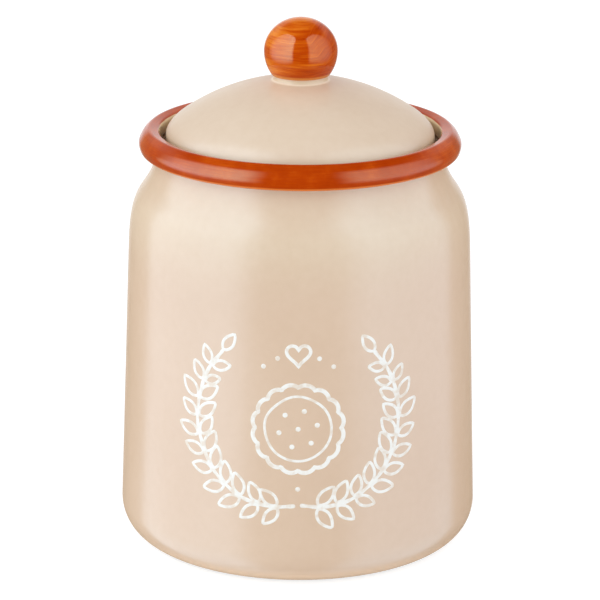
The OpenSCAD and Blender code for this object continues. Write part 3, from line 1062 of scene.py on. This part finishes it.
# The softboxes. Each stands between two floor points, here for the right-hand side, and is
# PANEL_TOP_START high at its far end. The shares are of its width, from the far end.
PANEL_ENDS = ((0.418, 0.181), (0.110, -0.285))
PANEL_TOP_START = 0.40
PANEL_TOP_SHARE = 0.45  # where its top reaches its full height
PANEL_CORNER = 0.12  # radius of its corners
FAR_SPAN = (0.18, 0.80)  # shares between which its glow grows from far_share of itself to all
CLIMB_SHARE = 0.3  # where high_fade is at the heights that the form gives
FOOT_FADE = (-0.09, -0.02)  # heights between which foot_glow fades
DEEP_FADE = (-0.50, -0.22)  # heights between which the glow grows from DEEP_SHARE of itself to all
DEEP_SHARE = 0.3

# Forms of the pairs for the pale pieces, the rim and the knob, with their glow left (-1) and right (1)
BODY_PANEL = dict(
    heights=(-1.20, 0.74), low_fade=(-0.02, 0.52), high_fade=(0.9, 1.0), climb=0.0,
    far_share=(0.71, 0.67, 0.64), softness=0.11, foot_glow=(0.15, 0.45, 0.6),
    glow={-1: (2.9, 4.2, 5.3), 1: (2.1, 3.3, 4.1)},
    low_glow={-1: (1.75, 2.3, 3.0), 1: (1.0, 1.45, 2.05)},
)
RIM_PANEL = dict(
    heights=(-0.60, 0.60), low_fade=(0.02, 0.17), high_fade=(0.22, 0.37), climb=0.16,
    far_share=(0.30, 0.20, 0.10), softness=0.10, foot_glow=(0.0, 0.0, 0.0),
    glow={-1: (4.5, 7.7, 13.0), 1: (2.7, 4.3, 7.0)},
    low_glow={-1: (0.3, 0.3, 0.3), 1: (0.2, 0.2, 0.2)},
)
KNOB_PANEL = dict(
    heights=(-0.60, 0.74), low_fade=(0.07, 0.19), high_fade=(0.9, 1.0), climb=0.0,
    far_share=(0.18, 0.13, 0.08), softness=0.05, foot_glow=(0.0, 0.0, 0.0),
    glow={-1: (4.6, 7.5, 12.5), 1: (3.7, 4.4, 5.9)},
    low_glow={-1: (0.2, 0.2, 0.2), 1: (0.2, 0.2, 0.2)},
)

# The photograph's view: a long lens 1.5 m from the jar that looks 17 degrees down
CAMERA_SENSOR = 36.0
CAMERA_LENS = 186.945
CAMERA_PLACE = (0, -1.40626, 0.54722)
CAMERA_PITCH = 0.29977
CAMERA_YAW = -0.00032
CAMERA_ROLL = 0.0074


def make_stage():
    """A floor that the camera sees as near white, with the jar's shadow kept."""
    corners = [(sx * FLOOR_HALF, sy * FLOOR_HALF, 0) for sx, sy in ((-1, -1), (1, -1), (1, 1), (-1, 1))]
    floor = make_mesh("studio_floor", corners, [(0, 1, 2, 3)])
    s = Shader("pale_floor")
    seen = s.node("ShaderNodeLightPath").outputs["Is Camera Ray"]
    glow = s.add(s.times(seen, FLOOR_GLOW - FLOOR_LIFT), FLOOR_LIFT)
    s.set(Base_Color=s.mix(seen, FLOOR_PALE, FLOOR_GREY), Roughness=0.95)
    s.set(Emission_Color=(*WHITE, 1), Emission_Strength=glow)
    paint(floor, s.material)
    # Gloss looks through the floor at the lower half of the side panels
    floor.visible_glossy = False


def make_world():
    """White for the camera, soft light for dull surfaces and the room's glow for gloss."""
    world = bpy.data.worlds.new("studio")
    bpy.context.scene.world = world
    world.use_nodes = True
    n = Nodes(world.node_tree)

    def choose(factor, if_not, if_so):
        """A colour between two, by a factor from 0 to 1."""
        return n.vector("MULTIPLY_ADD", n.vector("SUBTRACT", if_so, if_not), factor, if_not)

    path = n.node("ShaderNodeLightPath").outputs
    x, y, z = n.split(n.node("ShaderNodeTexCoord").outputs["Generated"])
    soft = SKY_EVEN
    for tint, axis, sign in ((SKY_LEFT, x, -1), (SKY_RIGHT, x, 1), (SKY_FRONT, y, -1)):
        lobe = n.maths("MAXIMUM", n.times(axis, sign), 0)
        soft = n.vector("MULTIPLY_ADD", lobe, tint, soft)
    backdrop = choose(n.span(z, *HIGHER, smooth=True), LOW_GLOW, HIGH_GLOW)
    backdrop = choose(n.span(z, *CEILING, smooth=True), backdrop, CEILING_GLOW)
    glow = choose(n.span(y, *BEHIND, smooth=True), FRONT_GLOW, backdrop)
    glow = choose(n.span(y, *STRAIGHT, smooth=True), glow, BACK_GLOW)
    seen = n.maths("MAXIMUM", path["Is Camera Ray"], path["Is Transmission Ray"])
    level = choose(seen, choose(path["Is Glossy Ray"], soft, glow), WHITE)
    n.feed(n.tree.nodes["Background"].inputs["Color"], level)


def softbox(name, side, form, pieces, state):
    """An upright panel lamp with round, soft corners that only gloss shows, on the side -1 or 1.

    It lights the pieces alone (state INCLUDE) or all but the pieces (state EXCLUDE).
    """
    start, stop = [(side * x, y) for x, y in PANEL_ENDS]
    low, high = form["heights"]
    width, height = math.dist(start, stop), high - low
    lamp = bpy.data.lights.new(name, "AREA")
    lamp.shape = "RECTANGLE"
    lamp.size, lamp.size_y = width, height
    lamp.energy = math.pi * width * height
    obj = add_object(name, lamp)
    obj.location = ((start[0] + stop[0]) / 2, (start[1] + stop[1]) / 2, (low + high) / 2)
    along = Vector((stop[0] - start[0], stop[1] - start[1], 0)).normalized()
    inward = Vector((-along.y, along.x, 0))
    if inward.dot(obj.location) > 0:
        inward = -inward
    obj.rotation_euler = inward.to_track_quat("-Z", "Y").to_euler()
    obj.visible_camera = False
    obj.visible_diffuse = False
    linked = bpy.data.collections.new(f"{name}_lights")
    for i, piece in enumerate(pieces):
        linked.objects.link(piece)
        linked.collection_objects[i].light_linking.link_state = state
    obj.light_linking.receiver_collection = linked
    lamp.use_nodes = True
    own_x = obj.rotation_euler.to_matrix() @ Vector((1, 0, 0))
    facing = 1 if own_x.dot(along) > 0 else -1
    draw_face(Nodes(lamp.node_tree), form, width, facing, form["glow"][side], form["low_glow"][side])


def draw_face(n, form, width, facing, glow, low_glow):
    """Draws the glow of a softbox over its face.

    The glow fades to low_glow down through low_fade, to nothing up through high_fade, which climbs
    along the panel, and to far_share of itself towards the far end. foot_glow is added below the
    height of the foot of the jar, and the deepest part, which only the views from above see in the
    wall, is dim.
    """
    low, high = form["heights"]
    height = high - low
    place = n.node("ShaderNodeNewGeometry").outputs["Parametric"]
    flat = n.vector("MULTIPLY", n.vector("SUBTRACT", place, (0.5, 0.5, 0)), (width, height, 0))
    across, rise, _ = n.split(flat)
    walked = n.add(n.times(across, facing), width / 2)
    # The face is stretched in height where its top is lower, then compared with a rectangle that is
    # smaller by the corner radius on every side
    top = n.span(walked, 0.0, PANEL_TOP_SHARE * width, PANEL_TOP_START - low, height)
    part = n.maths("DIVIDE", n.add(rise, height / 2), top)
    stretched = n.combine(across, n.times(n.subtract(part, 0.5), height), 0)
    inset = (width / 2 - PANEL_CORNER, height / 2 - PANEL_CORNER, 0)
    beyond = n.vector("MAXIMUM", n.vector("SUBTRACT", n.vector("ABSOLUTE", stretched), inset), (0, 0, 0))
    face = n.span(n.length(beyond), PANEL_CORNER - form["softness"], PANEL_CORNER, 1.0, 0.0, smooth=True)
    level = n.add(rise, (low + high) / 2)
    climb = form["climb"]
    climbed = n.maths("MULTIPLY_ADD", walked, -climb / width, n.add(level, CLIMB_SHARE * climb))
    face = n.times(face, n.span(climbed, *form["high_fade"], 1.0, 0.0, smooth=True))
    near = n.span(walked, *[share * width for share in FAR_SPAN])
    far_share = form["far_share"]
    share = n.vector("MULTIPLY_ADD", tuple(1 - c for c in far_share), near, far_share)
    share = n.vector("MULTIPLY", share, n.span(level, *DEEP_FADE, DEEP_SHARE, 1.0, smooth=True))
    raised = n.span(level, *form["low_fade"], smooth=True)
    colour = n.vector("MULTIPLY_ADD", n.vector("SUBTRACT", glow, low_glow), raised, low_glow)
    at_foot = n.span(level, *FOOT_FADE, 1.0, 0.0, smooth=True)
    colour = n.vector("MULTIPLY_ADD", form["foot_glow"], at_foot, colour)
    emission = n.tree.nodes["Emission"].inputs
    n.feed(emission["Color"], n.vector("MULTIPLY", colour, share))
    n.feed(emission["Strength"], face)


def make_lights(rim, knob):
    """Tall softboxes left and right of the jar, close to it in front and further off at the back.

    The rim and the knob, which have more gloss, have pairs of their own, so that the crest and the
    lower edge of the rim and the foot of the knob stay deep in tone.
    """
    for side, where in ((-1, "left"), (1, "right")):
        softbox(f"softbox_{where}", side, BODY_PANEL, (rim, knob), "EXCLUDE")
        softbox(f"rim_softbox_{where}", side, RIM_PANEL, (rim,), "INCLUDE")
        softbox(f"knob_softbox_{where}", side, KNOB_PANEL, (knob,), "INCLUDE")


def make_camera():
    data = bpy.data.cameras.new("camera")
    data.sensor_width = CAMERA_SENSOR
    data.lens = CAMERA_LENS
    data.clip_start, data.clip_end = 0.01, 50
    camera = add_object("camera", data)
    camera.location = CAMERA_PLACE
    look = Euler((math.pi / 2 - CAMERA_PITCH, 0, CAMERA_YAW)).to_quaternion()
    camera.rotation_mode = "QUATERNION"
    camera.rotation_quaternion = look @ Euler((0, 0, CAMERA_ROLL)).to_quaternion()
    bpy.context.scene.camera = camera


make_camera()
rim = make_jar()
make_decoration()
knob = make_lid()
make_stage()
make_world()
make_lights(rim, knob)
bpy.context.scene.view_settings.view_transform = "Standard"
